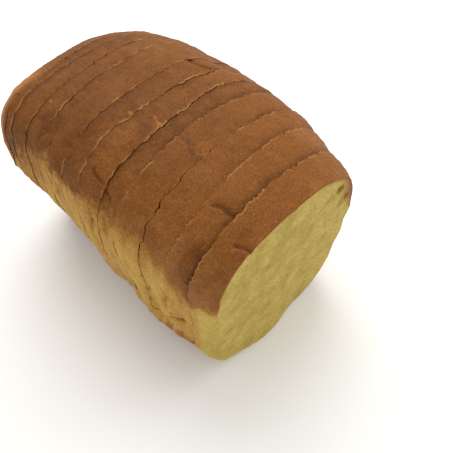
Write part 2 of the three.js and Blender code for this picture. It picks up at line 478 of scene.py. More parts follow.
def crustHeight(points, sliceNumber):
    # slow lumps, ripples and a fine grain, upright folds in the walls, dents and creases
    x, y, z = points[..., 0], points[..., 1], points[..., 2]
    clear = easeStep(z, 1.0, 22.0)
    wall = easeStep(z, 2.0, 12.0) * (1 - easeStep(z, 78.0, 98.0))
    total = (crustSwell["lumpHeight"] * cloudNoise(points, crustSwell["lumpSize"], 2, 11)
             + crustSwell["rippleHeight"] * cloudNoise(points, crustSwell["rippleSize"], 2, 23)
             + crustSwell["grainHeight"] * cloudNoise(points, crustSwell["grainSize"], 3, 31)) * clear
    total += wall * crustSwell["foldHeight"] * foldNoise(points)
    waist = easeStep(y, -2, 20) * (1 - easeStep(y, 34, 50)) * easeStep(-x, 20, 35)
    total -= crustSwell["waist"] * wall * waist
    for atX, atY, atZ, reach, depth in dents:
        away = (x - atX) ** 2 + (y - atY) ** 2 + (z - atZ) ** 2
        total -= depth * np.exp(-away / reach ** 2)
    return total + creaseShape(points, sliceNumber)[0]


# browning: pale below a line on the side walls, brown above it
browning = {
    # height of the line on the left wall, at the front, at each cut and at the rear
    "paleLine": [72, 68, 84, 90, 91, 92, 92, 93, 92, 91, 89, 87, 83, 75],
    "rightLower": 12.0,     # the line is this much lower on the right
    "lineWander": 5.0,      # how far it wanders up and down
    "lineRag": 2.5,         # and how ragged it is
    "fade": 7.0,            # mm over which pale turns to brown
    "halo": 0.3,            # tan just below the line
    "streakSize": (9.0, 2.6, 16.0),
    "frontStreaks": 0.08,   # how streaky the pale walls are at the front cut
    "moreStreaks": 0.3,     # and how much more behind it
    "frontPaleness": 0.45,  # how much paler the first slice's left wall is
    "rearTan": 0.12,        # how much the pale walls darken towards the rear
    "heelTan": 0.4,         # and how much more by the heel
    "heelPale": 0.4,        # how much less browned the heel is on the left
    "wallGrooveShade": 0.7,         # painted shade in the creases of the pale walls, given as browning
    "base": 0.5,            # how brown the base is
    # how far up the walls that reaches in the first slice, and behind it at each cut and the rear
    "firstBaseLine": 2.5,
    "baseLine": [24, 24, 27, 24, 15, 12, 12, 12, 12, 12, 14, 16, 18, 20],
}


def bakeAmount(points, sliceNumber):
    # 0 is pale, 1 is the brown of the crown, and below 0 is as pale as crumb
    x, y, z = points[..., 0], points[..., 1], points[..., 2]
    line = np.interp(y, cutYs + [rearY], browning["paleLine"])
    line = line - browning["rightLower"] * easeStep(x, -20, 20)
    line = line + browning["lineWander"] * cloudNoise(points, 12.0, 3, 41)
    line = line + browning["lineRag"] * cloudNoise(points, 3.5, 2, 47)
    crown = easeStep(z, line - browning["fade"], line + browning["fade"])
    halo = browning["halo"] * easeStep(z, line - 22, line) * easeStep(y, frontY + 6, frontY + 16)
    rear = browning["rearTan"] * easeStep(y, frontY, 20) + browning["heelTan"] * easeStep(y, 26, 48)
    foot = browning["firstBaseLine"]
    if sliceNumber > 1:
        foot = np.interp(y, cutYs + [rearY], browning["baseLine"])
    foot = foot * (1 + 0.5 * cloudNoise(points, 10.0, 3, 53))
    base = browning["base"] * (1 - easeStep(z, foot - 5, foot + 3))
    # streaks are darker in the upright folds
    streak = cloudNoise(points, browning["streakSize"], 3, 57)
    streak = streak - foldNoise(points)
    streakiness = browning["moreStreaks"] * easeStep(y, frontY + 6, frontY + 24)
    streak = (browning["frontStreaks"] + streakiness) * streak
    # painted shade in the creases, as browning of the pale walls
    groove = browning["wallGrooveShade"] * creaseShape(points, sliceNumber)[1]
    palest = (1 - easeStep(y, cutYs[1] - 7, cutYs[1] - 1)) * easeStep(-x, 0, 30)
    palest = -browning["frontPaleness"] * palest
    heelPale = browning["heelPale"] * easeStep(y, 53, 58) * easeStep(-x, 15, 40)
    bake = np.maximum(crown, base) + (halo + rear + streak + groove + palest) * (1 - crown)
    return np.clip(bake - heelPale * crown, -0.5, 1)


# patches where the crust is darker (below 0) or lighter: x, y, z, reach across, along and down, tone. The
# first two are painted shade: the shadow of the first slice's proud lip on the second slice, and shade
# beside a crease on the first.
patches = [
    # painted shadow of the first slice's proud lip on the second slice
    (-42.0, -54.2, 90, 9, 3.4, 13, -0.6),
    # painted shade beside the crease on the first slice
    (-23.0, -64.5, 102, 4, 2.2, 5, -0.25),
    (-25.5, -2.0, 110, 6, 5.0, 6, 0.2),
    (-2.5, -18.0, 112, 7, 5.0, 6, 0.1),
    (-38.0, 28.0, 102, 6, 7.0, 9, -0.3),
    (-44.0, -38.0, 94, 5, 5.0, 8, -0.15),
    (-24.0, -3.5, 111, 8.0, 3.5, 6, 0.15),
    (-18.0, 2.0, 111, 0.9, 1.6, 3, 1.0),
    (-13.8, -9.5, 112, 0.8, 1.8, 3, 1.0),
    (-33.5, 36.5, 104, 0.8, 1.5, 3, 1.0),
    (-39.8, 23.0, 102, 1.1, 0.8, 3, -1.6),
    (-45.0, 22.5, 98, 0.9, 0.6, 3, -1.2),
    (-48.0, 49.0, 86, 0.8, 0.9, 2.5, -1.3),
    (-50.0, 47.0, 82, 0.8, 0.7, 2.5, -1.3),
    (-41.0, 12.0, 103, 0.8, 0.8, 3, -1.0),
    (-13.0, -6.5, 112, 0.9, 1.0, 3, 0.8),
]
toning = {
    "cloud": 0.25,          # slow unevenness of the brown
    "rear": -0.4,           # how much darker the crown is from the middle to the rear
    "frontLeftLight": 0.6,       # painted light: how much lighter at the left shoulder near the front, which faces away from the lamps
    "right": 0.25,          # painted light: and on the right half, where more light falls
    "heel": 1.4,            # painted light: and on the left of the heel, which faces away from the lamps
    "patchRag": 0.55,       # how ragged the rims of the patches are
}


def toneAmount(points, sliceNumber):
    # below 0 is darker and above 0 lighter: a slow unevenness, darker towards the rear, painted light at
    # the left shoulder near the front, on the right half and on the left of the heel, painted shade in the
    # creases, and the patches, the first two of them painted shade, each 1 within 0.6 of its reach and 0
    # beyond 1.2
    x, y, z = points[..., 0], points[..., 1], points[..., 2]
    rag = toning["patchRag"] * cloudNoise(points, 5.0, 3, 73)
    total = toning["cloud"] * cloudNoise(points, 9.0, 3, 79) + toning["rear"] * easeStep(y, -52, -12)
    # painted light at the left shoulder near the front, on the right half and on the left of the heel
    total += toning["frontLeftLight"] * easeStep(-x, 28, 48) * (1 - easeStep(y, -30, 15))
    total += toning["right"] * easeStep(x, -5, 35)
    total += toning["heel"] * easeStep(y, 53, 58) * easeStep(-x, 10, 40)
    # painted shade in the creases
    total -= creaseShape(points, sliceNumber)[1]
    for atX, atY, atZ, across, along, down, tone in patches:
        away = np.sqrt(((x - atX) / across) ** 2 + ((y - atY) / along) ** 2 + ((z - atZ) / down) ** 2)
        total += tone * (1 - easeStep(away + rag, 0.6, 1.2))
    return total


def meshFromGrid(name, points, frontCap, rearCap):
    # rings of points from front to rear, closed round each ring, with a fan of triangles at each end
    rings, count, _ = points.shape
    vertices = np.concatenate([points.reshape(-1, 3), [frontCap, rearCap]]) * mm
    ring = np.arange(rings - 1)[:, None] * count
    this = np.arange(count)[None, :]
    following = (this + 1) % count
    quads = np.stack([ring + this, ring + count + this, ring + count + following, ring + following], -1)
    quads = quads.reshape(-1, 4)
    this, following = this[0], following[0]
    first = rings * count
    front = np.stack([np.full(count, first), this, following], -1)
    lastRing = (rings - 1) * count
    rear = np.stack([np.full(count, first + 1), lastRing + following, lastRing + this], -1)
    loops = np.concatenate([quads.ravel(), front.ravel(), rear.ravel()])
    sizes = np.concatenate([np.full(len(quads), 4), np.full(2 * count, 3)])
    mesh = bpy.data.meshes.new(name)
    mesh.vertices.add(len(vertices))
    mesh.vertices.foreach_set("co", vertices.ravel())
    mesh.loops.add(len(loops))
    mesh.loops.foreach_set("vertex_index", loops.astype(np.int32))
    mesh.polygons.add(len(sizes))
    starts = np.concatenate(([0], np.cumsum(sizes)[:-1]))
    mesh.polygons.foreach_set("loop_start", starts.astype(np.int32))
    mesh.polygons.foreach_set("loop_total", sizes.astype(np.int32))
    mesh.polygons.foreach_set("use_smooth", np.ones(len(sizes), bool))
    mesh.update(calc_edges=True)
    mesh.validate()
    return mesh


def addAttribute(mesh, name, values, frontValue, rearValue):
    # a value for each point of the grid, and for the middle of the front and of the rear
    data = mesh.attributes.new(name, "FLOAT", "POINT")
    full = np.concatenate([values.ravel(), [frontValue, rearValue]])
    data.data.foreach_set("value", full.astype(np.float32))


# pores in the cut face that shows
pores = {
    "count": 900,
    "left": -48, "right": 48,        # where the small ones lie
    "bottom": 2, "top": 108,
    "small": 0.25, "large": 0.8,     # radii in mm
    "depth": 0.45,                   # of the radius
    "stretch": 1.5,                  # longer than wide
    "holes": [                       # x, z, half length, half width, depth, tilt: larger holes
        (-33.0, 44.0, 2.6, 0.8, 1.2, 0.15),
        (-33.6, 19.0, 3.2, 0.7, 0.9, 0.5),
        (30.8, 85.4, 3.9, 2.8, 3.6, -0.8),
        (37.6, 74.4, 3.0, 1.8, 2.6, -1.2),
        (4.0, 52.0, 1.5, 0.7, 0.8, 0.9),
        (-12.0, 74.0, 1.3, 0.7, 0.7, 0.4),
        (18.0, 30.0, 1.6, 0.7, 0.8, 2.2),
    ],
}


def poreDepth(x, z, pores, seed):
    # each pore is a bowl, its depth times the square of 1 - r^2, with r measured along and across its
    # tilted axes as a part of their lengths
    rng = np.random.default_rng(seed)
    count = pores["count"]
    centreX = rng.uniform(pores["left"], pores["right"], count)
    centreZ = rng.uniform(pores["bottom"], pores["top"], count)
    radius = pores["small"] + (pores["large"] - pores["small"]) * rng.random(count) ** 3
    tilt = rng.normal(-0.8, 0.6, count)
    length, depth = radius * pores["stretch"], radius * pores["depth"]
    bowls = np.stack([centreX, centreZ, length, radius, depth, tilt], -1)
    bowls = np.concatenate([bowls, np.array(pores["holes"])])
    total = np.zeros(x.shape)
    for bowlX, bowlZ, length, width, depth, angle in bowls:
        near = (np.abs(x - bowlX) < length) & (np.abs(z - bowlZ) < length)
        dx, dz = x[near] - bowlX, z[near] - bowlZ
        a = (dx * math.cos(angle) + dz * math.sin(angle)) / length
        b = (dz * math.cos(angle) - dx * math.sin(angle)) / width
        total[near] = np.maximum(total[near], depth * np.clip(1 - a * a - b * b, 0, 1) ** 2)
    return total


sliceMesh = {
    "columns": 760,
    "bandRows": 34,          # rows of the crust from cut to cut
    "bendRows": 4,           # rows of each rounded edge
    "faceRings": 5,          # rings of a hidden cut face
    "shownColumns": 640,     # the first slice, whose front face shows
    "shownFaceRings": 84,
    "faceRoughness": 0.15,   # mm
    "hiddenRecess": 0.25,    # how far the hidden cut faces are hollowed, so that neighbours stay clear
    "faceMiddle": 50.0,      # height of the point that a face is drawn in to
    "middleDepth": 50.0,     # how far in from the rim it counts as
    "hiddenBrowning": 0.35,  # the crust reaches further in on the hidden faces
    "thickRim": 0.9,         # and on the right shoulder of the shown face
    "thickRimPlace": 2.22, "thickRimReach": 0.36,
    "insideShade": -0.8,      # painted shade: how much darker the crust is inside a cut
    "insideBake": 0.7,       # and at least how brown, so that the painted shade inside a cut also darkens the pale walls
    # radius of the front edge at places round it: sharp up to the crown, soft down the left side
    "frontRoundPlaces": [3.8, 4.2, 4.8, 5.6, 6.1],
    "frontRound": [0.15, 1.2, 2.0, 2.4, 1.0],
    "toe": 2.8,              # how far the bottom edge of the front face stands forward in its middle
}


def outwardNormal(x, z):
    # at right angles to the line between the neighbours on the ring
    tx = np.roll(x, -1, -1) - np.roll(x, 1, -1)
    tz = np.roll(z, -1, -1) - np.roll(z, 1, -1)
    size = np.maximum(np.hypot(tx, tz), 1e-9)
    return tz / size, -tx / size


def column(*parts):
    # one value for each row of a grid, from parts laid end to end
    return np.concatenate(parts)[:, None]


def faceRadii():
    # rings of a hidden cut face, from near its middle to its rim, closer together towards the rim
    return 1 - np.linspace(0.8, 0.012, sliceMesh["faceRings"]) ** 2


def sliceRows(shown):
    # the rows of a slice from front to rear: rings of the front face, its rounded edge, the crust band,
    # the other rounded edge, and rings of the rear face. Radius is the part of the way from the middle
    # of a face to its rim, share the part of the way from cut to cut. On a rounded edge drop is 1 - sin
    # and back is 1 - cos of the turn: how far it is drawn in and set back, as parts of its radius.
    bend = np.linspace(0, math.pi / 2, sliceMesh["bendRows"])
    band = np.linspace(0, 1, sliceMesh["bandRows"])[1:-1]
    rear = faceRadii()
    front = np.linspace(0, 1, sliceMesh["shownFaceRings"] + 1)[1:-1] if shown else rear
    nFront, nBend, nBand, nRear = len(front), len(bend), len(band), len(rear)
    return {
        "frontCount": nFront,
        "radius": column(front, np.ones(2 * nBend + nBand), rear[::-1]),
        "share": column(np.zeros(nFront + nBend), band, np.ones(nBend + nRear)),
        "frontDrop": column(np.ones(nFront), 1 - np.sin(bend), np.zeros(nBand + nBend + nRear)),
        "rearDrop": column(np.zeros(nFront + nBend + nBand), 1 - np.sin(bend[::-1]), np.ones(nRear)),
        "frontBack": column(np.zeros(nFront), 1 - np.cos(bend), np.ones(nBand + nBend + nRear)),
        "rearBack": column(np.ones(nFront + nBend + nBand), 1 - np.cos(bend[::-1]), np.zeros(nRear)),
    }


def lipPaleness(place, number, step):
    # a torn lip shows pale in broken stretches: its own paler crust, and a painted highlight that is
    # stronger where its side of the cut stands proud
    at = alongCut(place, 13.0 * number)
    broken = easeStep(cloudNoise(at, 3.0, 3, 83), -0.2, 0.3)
    return broken * (0.3 + 0.7 * easeStep(step, 0.0, 0.3))


def cutColours(index, place, toFront, toRear):
    # what the cuts at its two edges do to a slice's crust: pale torn lips with a painted highlight where
    # they stand proud, painted shade on the sunk side of a step, and brown streaks down the pale left
    # wall. Each fades with the distance to its edge.
    hasFront = index > 0
    number = index + 1
    frontNet = netStep(index, place) if hasFront else np.zeros(place.shape)
    rearNet = -netStep(number, place)
    frontLip = lipPaleness(place, 2 * index, frontNet) * np.exp(-(toFront / cuts["frontLipReach"]) ** 2)
    rearLip = lipPaleness(place, 2 * index + 1, rearNet) * np.exp(-(toRear / cuts["rearLipReach"]) ** 2)
    frontShade = easeStep(-frontNet, 0.05, 0.7) * np.exp(-toFront / cuts["shadeReach"])
    rearShade = easeStep(-rearNet, 0.05, 0.7) * np.exp(-toRear / cuts["shadeReach"])
    frontBrown = cuts["wallBrown"][index - 1] * streakAlongCut(place, index)
    frontBrown = frontBrown * np.exp(-(toFront / cuts["streakReach"]) ** 2)
    rearBrown = cuts["wallBrown"][index] * streakAlongCut(place, number)
    rearBrown = rearBrown * np.exp(-(toRear / cuts["streakReach"]) ** 2)
    lip = np.maximum(frontLip * hasFront, rearLip)
    shade = (frontShade + rearShade) * offBase(place)
    brown = onWall(place) * hasFront * np.maximum(frontBrown, rearBrown)
    return lip, shade, brown


def frontEdge(index, place, yFront):
    # line, rounding and step of the front edge of the piece that begins at yFront. The first slice's is
    # the edge of the shown face, which wavers a little and stands forward at its foot.
    if index > 0:
        line, gape, edgeRound = cutEdge(index, place)
        return line + gape / 2, edgeRound, cutValue("step", index - 1, place) * offBase(place)
    toe = easeStep(place, 5.7, 6.3) * (1 - easeStep(place, 6.35, 7.0))
    line = yFront + 0.15 * cloudNoise(alongCut(place, 0.0), 2.0, 3, 89) - sliceMesh["toe"] * toe
    edgeRound = np.interp(place, sliceMesh["frontRoundPlaces"], sliceMesh["frontRound"])
    return line, edgeRound, np.zeros(place.shape)


def rearEdge(index, place):
    # the same for the rear edge of a slice
    line, gape, edgeRound = cutEdge(index + 1, place)
    return line - gape / 2, edgeRound, -cutValue("step", index, place) * offBase(place)


def sliceCrust(index, place, rows):
    # the loaf's section along the slice, moved out or in by the relief and the steps at its cuts
    name = sliceNames[index]
    low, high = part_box(name)
    yFront, yRear = low.y / mm, high.y / mm
    thickness = yRear - yFront
    rise = high.z / mm - crownHeight((np.linspace(yFront, yRear, 9) - frontY) / loafLength).max()
    frontLine, frontRound, frontStep = frontEdge(index, place, yFront)
    rearLine, rearRound, rearStep = rearEdge(index, place)
    inset = frontRound * rows["frontDrop"] + rearRound * rows["rearDrop"]
    yFirst = frontLine + frontRound * rows["frontBack"]
    yLast = rearLine - rearRound * rows["rearBack"]
    y = yFirst * (1 - rows["share"]) + yLast * rows["share"]
    along = np.clip((y - frontY) / loafLength, 0, 1)
    x, z = sectionPoints(place[None, :], along, rise)
    x = x + (low.x + high.x) / 2 / mm - (x.min() + x.max()) / 2
    nx, nz = outwardNormal(x, z)
    # lips at the cuts, a pillow between them, and the relief of the whole loaf
    toFront, toRear = y - frontLine, rearLine - y
    lips = (frontStep * np.exp(-toFront / cuts["stepReach"])
            + rearStep * np.exp(-toRear / cuts["stepReach"])) / 2
    pillow = 4 * (toFront / thickness) * (toRear / thickness) - 0.5
    pillow = crustSwell["pillow"] * pillow * offBase(place)
    relief = crustHeight(np.stack([x, y, z], -1), index + 1) + rearSwell(place[None, :], y) + lips + pillow
    return {
        "x": x + nx * (relief - inset),
        "y": y,
        "z": np.maximum(z + nz * (relief - inset), 0.0),
        "inset": inset,
        "toFront": toFront,
        "toRear": toRear,
        "frontFlat": yFront if index == 0 else frontLine.mean(),
        "rearFlat": rearLine.mean(),
    }


def drawFaces(index, crust, rows):
    # each cut face is drawn in towards a point and flattens out towards it, a little hollow and rough.
    # Gives the points, how far in from the rim each lies, and how deep in a pore.
    shown = index == 0
    radius, share = rows["radius"], rows["share"]
    x, y, z = crust["x"], crust["y"], crust["z"]
    centreX, centreZ = x.mean(), sliceMesh["faceMiddle"]
    rim = np.hypot(x - centreX, z - centreZ)
    x = centreX + (x - centreX) * radius
    z = centreZ + (z - centreZ) * radius
    flat = np.where(share < 0.5, crust["frontFlat"], crust["rearFlat"])
    y = flat + (y - flat) * radius ** 3
    onShown = shown & (share == 0)
    depth = rim * (1 - radius) + np.where((radius < 1) | onShown, crust["inset"], 0)
    inward = np.where(share < 0.5, 1.0, -1.0)
    hollow = sliceMesh["faceRoughness"] * cloudNoise(np.stack([x, z, y * 0], -1), 1.5, 2, 97 + index)
    hollow = hollow + np.where(onShown, 0, sliceMesh["hiddenRecess"])
    y = y + (radius < 1) * inward * hollow * easeStep(depth, 0.0, 2.0)
    pit = np.zeros(x.shape)
    if shown:
        face = slice(rows["frontCount"])
        pit[face] = poreDepth(x[face], z[face], pores, 5) * easeStep(depth[face], 0.6, 2.0)
        y = y + pit
    return np.stack([x, y, z], -1), depth, pit


def buildSlice(index):
    # the mesh of one slice, with what its material reads at each point: what the cuts do to the crust, its
    # browning and tone, and the painted shade inside the cuts
    shown = index == 0
    place = outlinePlaces(sliceMesh["shownColumns"] if shown else sliceMesh["columns"])
    rows = sliceRows(shown)
    crust = sliceCrust(index, place, rows)
    points, depth, pit = drawFaces(index, crust, rows)
    mesh = meshFromGrid(sliceNames[index], points, points[0].mean(0), points[-1].mean(0))

    lip, sunkShade, wallBrown = cutColours(index, place, crust["toFront"], crust["toRear"])
    inside = 1.0 * ((rows["frontDrop"] > 0.6) & (not shown) | (rows["rearDrop"] > 0.6))
    # painted shade on the sunk side of a step at a cut
    tone = toneAmount(points, index + 1) + cuts["shadeTone"] * sunkShade * (rows["radius"] == 1)
    # painted shade inside the cuts
    tone = np.where(inside > 0, sliceMesh["insideShade"], tone)
    bake = bakeAmount(points, index + 1)
    bake = bake + wallBrown * (1 - bake)
    bake = np.where(inside > 0, np.maximum(bake, sliceMesh["insideBake"]), bake)
    fromShoulder = (place - sliceMesh["thickRimPlace"]) / sliceMesh["thickRimReach"]
    thickRim = 1 - sliceMesh["thickRim"] * np.exp(-fromShoulder ** 2)
    seenDepth = depth * np.where((rows["share"] < 0.5) & shown, thickRim, sliceMesh["hiddenBrowning"])
    addAttribute(mesh, "bake", bake, 0.0, 0.0)
    addAttribute(mesh, "inside", inside + pit * 0, 0.0 if shown else 1.0, 1.0)
    addAttribute(mesh, "tone", tone, 0.0, 0.0)
    addAttribute(mesh, "rimDepth", seenDepth, sliceMesh["middleDepth"], sliceMesh["middleDepth"])
    addAttribute(mesh, "lip", lip, 0.0, 0.0)
    addAttribute(mesh, "pit", pit, 0.0, 0.0)
    return mesh


# materials
def newGroup(name, ins, outs):
    # ins: name -> (socket type, value), outs: name -> socket type
    tree = bpy.data.node_groups.new(name, "ShaderNodeTree")
    for key, (kind, value) in ins.items():
        socket = tree.interface.new_socket(name=key, in_out="INPUT", socket_type=kind)
        socket.default_value = value
    for key, kind in outs.items():
        tree.interface.new_socket(name=key, in_out="OUTPUT", socket_type=kind)
    return tree, tree.nodes.new("NodeGroupInput"), tree.nodes.new("NodeGroupOutput")


def feed(tree, socket, value):
    # a socket takes either a link or a value
    if isinstance(value, bpy.types.NodeSocket):
        tree.links.new(value, socket)
    else:
        socket.default_value = value


def addNode(tree, kind, settings=None, **values):
    # a node with its settings, its inputs fed by name
    node = tree.nodes.new(kind)
    for key, value in (settings or {}).items():
        setattr(node, key, value)
    for key, value in values.items():
        feed(tree, node.inputs[key], value)
    return node


def mathNode(tree, operation, a, b=0.0):
    # one step of arithmetic on a and b
    node = tree.nodes.new("ShaderNodeMath")
    node.operation = operation
    feed(tree, node.inputs[0], a)
    feed(tree, node.inputs[1], b)
    return node.outputs[0]


def ramp(tree, value, low, high, outLow=0.0, outHigh=1.0):
    # an eased ramp from outLow at low to outHigh at high
    node = addNode(tree, "ShaderNodeMapRange", {"interpolation_type": "SMOOTHSTEP"}, Value=value)
    for key, number in (("From Min", low), ("From Max", high), ("To Min", outLow), ("To Max", outHigh)):
        node.inputs[key].default_value = number
    return node.outputs["Result"]


def mixColours(tree, share, a, b, blend="MIX"):
    # a where share is 0, b where it is 1
    node = addNode(tree, "ShaderNodeMix", {"data_type": "RGBA", "blend_type": blend})
    for number, value in ((0, share), (6, a), (7, b)):
        feed(tree, node.inputs[number], value)
    return node.outputs[2]


def mixNumbers(tree, share, a, b):
    # the same for numbers
    node = addNode(tree, "ShaderNodeMix", {"data_type": "FLOAT"})
    for number, value in ((0, share), (2, a), (3, b)):
        feed(tree, node.inputs[number], value)
    return node.outputs[0]


def noiseNode(tree, place, size, detail=2.0, roughness=0.5, distortion=0.0):
    # size is in millimetres
    node = addNode(tree, "ShaderNodeTexNoise", Vector=place)
    node.inputs["Scale"].default_value = 1 / (size * mm)
    node.inputs["Detail"].default_value = detail
    node.inputs["Roughness"].default_value = roughness
    node.inputs["Distortion"].default_value = distortion
    return node.outputs["Fac"]


def stretched(tree, place, scale, turn=(0, 0, 0)):
    # pattern space turned and pulled longer along its axes
    node = addNode(tree, "ShaderNodeMapping", {"vector_type": "TEXTURE"}, Vector=place)
    node.inputs["Rotation"].default_value = turn
    node.inputs["Scale"].default_value = scale
    return node.outputs[0]


def linear(r, g, b):
    # display colour 0 to 255 to scene-linear
    def one(value):
        value = value / 255
        return value / 12.92 if value <= 0.04045 else ((value + 0.055) / 1.055) ** 2.4
    return (one(r), one(g), one(b), 1)


crustLook = {
    "brown": linear(121, 72, 26),
    "darkBrown": linear(92, 52, 14),
    "lightBrown": linear(148, 98, 50),
    "golden": linear(156, 108, 42),
    "pale": linear(181, 140, 68),
    "palest": linear(192, 161, 72),
    "speck": linear(176, 128, 72),
    # pale torn crust of the cut lips, with a painted highlight on the proud edges
    "lip": linear(164, 117, 62),
    "rim": linear(166, 124, 56),
    # painted shade for the crust inside a cut
    "gapShade": linear(126, 76, 36),
    "grain": 0.42,           # light and dark of the fine grain
    "speckSize": 0.3,        # of a cell of 1 mm
}
crumbLook = {
    "crumb": linear(196, 175, 98),
    "shade": linear(172, 147, 70),
    # painted shade at the bottoms of the pores and large holes
    "poreShade": linear(138, 108, 46),
    "holeShade": linear(112, 74, 32),
}


def buildCrustGroup(look):
    # colour, height and roughness of the crust, from how brown and how toned it is
    ins = {"Place": ("NodeSocketVector", (0, 0, 0)), "Bake": ("NodeSocketFloat", 1.0),
           "Tone": ("NodeSocketFloat", 0.0), "Lip": ("NodeSocketFloat", 0.0)}
    outs = {"Color": "NodeSocketColor", "Height": "NodeSocketFloat", "Roughness": "NodeSocketFloat"}
    tree, inside, out = newGroup("crustSurface", ins, outs)
    place, bake, tone, lip = (inside.outputs[key] for key in ("Place", "Bake", "Tone", "Lip"))
    blotch = noiseNode(tree, place, 5.5, 3.0, 0.6)
    mottle = noiseNode(tree, place, 1.9, 3.0, 0.6)
    grain = noiseNode(tree, place, 0.7, 2.0, 0.75)
    # from pale through golden to brown, nudged by the mottling
    nudge = mathNode(tree, "MULTIPLY", mathNode(tree, "SUBTRACT", mottle, 0.5), 0.9)
    toned = mathNode(tree, "ADD", bake, nudge)
    pale = mixColours(tree, ramp(tree, toned, 0.0, 0.55), look["pale"], look["golden"])
    pale = mixColours(tree, ramp(tree, bake, -0.4, 0.05, 1.0, 0.0), pale, look["palest"])
    cloudy = mathNode(tree, "MULTIPLY", mathNode(tree, "SUBTRACT", blotch, 0.5), 0.9)
    shade = mathNode(tree, "ADD", tone, cloudy)
    brown = mixColours(tree, ramp(tree, shade, -0.9, 0.1), look["darkBrown"], look["brown"])
    brown = mixColours(tree, ramp(tree, shade, 0.0, 0.9), brown, look["lightBrown"])
    colour = mixColours(tree, ramp(tree, toned, 0.4, 0.85), pale, brown)
    # grain: light and dark at a fine scale
    level = mathNode(tree, "ADD", mathNode(tree, "MULTIPLY", grain, 0.75),
                     mathNode(tree, "MULTIPLY", mottle, 0.25))
    level = ramp(tree, level, 0.28, 0.72, 1 - 0.8 * look["grain"], 1 + 0.9 * look["grain"])
    levels = addNode(tree, "ShaderNodeCombineColor", Red=level, Green=level, Blue=level).outputs[0]
    colour = mixColours(tree, 1.0, colour, levels, "MULTIPLY")
    # pale specks: bent dots round the points of a cellular noise, of different sizes, many cells without
    wobble = addNode(tree, "ShaderNodeTexNoise", Vector=place, Scale=1 / (0.9 * mm))
    bent = addNode(tree, "ShaderNodeVectorMath", {"operation": "MULTIPLY_ADD"})
    feed(tree, bent.inputs[0], wobble.outputs["Color"])
    bent.inputs[1].default_value = (0.001, 0.001, 0.001)
    feed(tree, bent.inputs[2], place)
    dots = addNode(tree, "ShaderNodeTexVoronoi", Vector=bent.outputs[0], Scale=1 / (1.0 * mm))
    pick = addNode(tree, "ShaderNodeSeparateColor", Color=dots.outputs["Color"])
    size = ramp(tree, pick.outputs[0], 0.4, 1.0, 0.0, look["speckSize"])
    speck = ramp(tree, mathNode(tree, "SUBTRACT", size, dots.outputs["Distance"]), 0.0, 0.12)
    speck = mathNode(tree, "MULTIPLY", speck, ramp(tree, pick.outputs[1], 0.0, 1.0, 0.1, 0.65))
    shownSpeck = mathNode(tree, "MULTIPLY", speck, ramp(tree, bake, 0.2, 0.8, 0.3, 1.0))
    colour = mixColours(tree, shownSpeck, colour, look["speck"])
    # the torn lip of a cut: its paler crust and a painted highlight
    lipPaleAndLit = mathNode(tree, "MULTIPLY", lip, ramp(tree, grain, 0.35, 0.6, 0.35, 1.0))
    colour = mixColours(tree, lipPaleAndLit, colour, look["lip"])
    height = mathNode(tree, "ADD", mathNode(tree, "MULTIPLY", grain, 0.4),
                      mathNode(tree, "MULTIPLY", mottle, 0.7))
    height = mathNode(tree, "ADD", height, mathNode(tree, "MULTIPLY", speck, 0.3))
    tree.links.new(colour, out.inputs["Color"])
    tree.links.new(height, out.inputs["Height"])
    tree.links.new(ramp(tree, mottle, 0.3, 0.7, 0.62, 0.78), out.inputs["Roughness"])
    return tree


def buildCrumbGroup(look):
    # colour and height of the crumb: a mesh of small pores, some larger, with painted shade in them, over
    # a cloudy tone
    ins = {"Place": ("NodeSocketVector", (0, 0, 0)), "Pit": ("NodeSocketFloat", 0.0)}
    outs = {"Color": "NodeSocketColor", "Height": "NodeSocketFloat"}
    tree, inside, out = newGroup("crumbSurface", ins, outs)
    place, pit = inside.outputs["Place"], inside.outputs["Pit"]
    skewed = stretched(tree, place, (1.7, 1.0, 1.0), (0, 0.8, 0))
    cloud = noiseNode(tree, place, 9.0, 3.0, 0.6)
    fine = noiseNode(tree, skewed, 1.1, 3.0, 0.6)
    smallPores = addNode(tree, "ShaderNodeTexVoronoi", Vector=skewed, Scale=1 / (1.6 * mm))
    largePores = addNode(tree, "ShaderNodeTexVoronoi", Vector=skewed, Scale=1 / (2.6 * mm))
    small = ramp(tree, smallPores.outputs["Distance"], 0.0, 0.55, 1.0, 0.0)
    small = mathNode(tree, "MULTIPLY", small, 0.7)
    pick = addNode(tree, "ShaderNodeSeparateColor", Color=largePores.outputs["Color"]).outputs[0]
    large = ramp(tree, largePores.outputs["Distance"], 0.0, 0.35, 1.0, 0.0)
    large = mathNode(tree, "MULTIPLY", large, ramp(tree, pick, 0.45, 0.6))
    holes = mathNode(tree, "MAXIMUM", small, large)
    holes = mathNode(tree, "MULTIPLY", holes, ramp(tree, fine, 0.3, 0.6))
    holes = mathNode(tree, "MAXIMUM", holes, ramp(tree, pit, 0.12, 0.6))
    colour = mixColours(tree, ramp(tree, cloud, 0.3, 0.7), look["shade"], look["crumb"])
    colour = mixColours(tree, ramp(tree, fine, 0.25, 0.6), look["shade"], colour)
    # painted shade in the pores and holes, darker the deeper they are
    colour = mixColours(tree, mathNode(tree, "MULTIPLY", holes, 0.52), colour, look["poreShade"])
    colour = mixColours(tree, ramp(tree, pit, 0.9, 2.0), colour, look["holeShade"])
    height = mathNode(tree, "SUBTRACT", mathNode(tree, "MULTIPLY", fine, 0.5), holes)
    tree.links.new(colour, out.inputs["Color"])
    tree.links.new(height, out.inputs["Height"])
    return tree


crustGroup = buildCrustGroup(crustLook)
crumbGroup = buildCrumbGroup(crumbLook)

bread = {
    "crustDepth": 0.8,       # mm of crust at a cut face's rim
    "paleDepth": 0.25,       # how much of that there is where the crust is pale
    "rimTan": 0.8,           # how much lighter that crust is than the outside
    "bumpDepth": 0.5,        # mm
    "bumpStrength": 0.8,
    "specular": 0.16,
}


def attribute(tree, name):
    # a value kept on the points of the mesh
    settings = {"attribute_type": "GEOMETRY", "attribute_name": name}
    return addNode(tree, "ShaderNodeAttribute", settings).outputs["Fac"]


